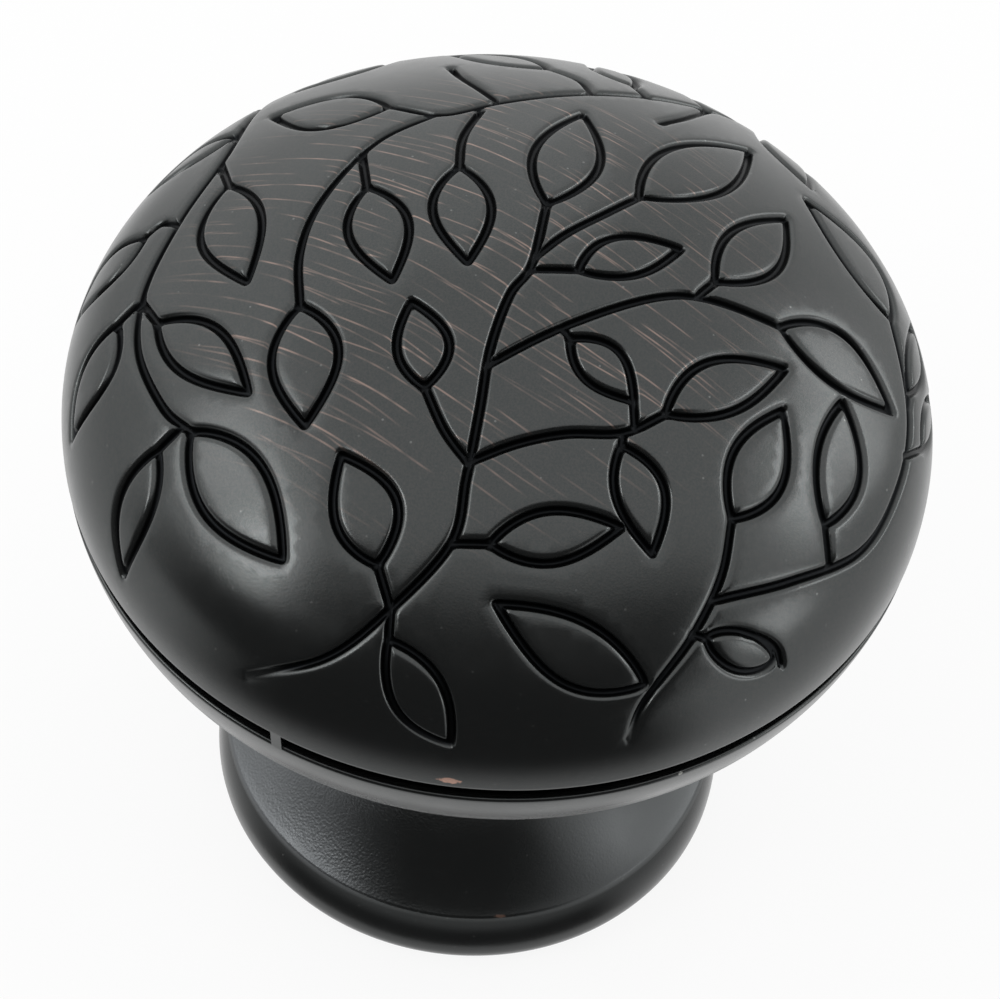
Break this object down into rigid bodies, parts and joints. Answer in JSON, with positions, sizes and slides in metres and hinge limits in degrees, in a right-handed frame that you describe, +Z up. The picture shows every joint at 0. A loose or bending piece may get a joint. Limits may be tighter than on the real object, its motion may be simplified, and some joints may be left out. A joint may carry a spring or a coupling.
{
  "type": "cabinet knob",
  "caption": "Round mushroom cabinet knob with a vine and leaves cut into its domed cap, a notch round the rim, and a flared foot with a blind screw hole.",
  "frame": {"origin": "centre of the flat seat under the foot", "axes": "+Z up along the knob's axis from the seat to the crown, -Y towards the side on which the vine's main stem rises, +X to the right seen from that side"},
  "size_m": [0.038, 0.038, 0.038],
  "materials": {
    "bronze_finish": "satin near-black oil-rubbed bronze with fine copper-coloured scratches on the crown"
  },
  "bodies": {
    "root": {"knob": "bronze_finish"}
  },
  "joints": []
}
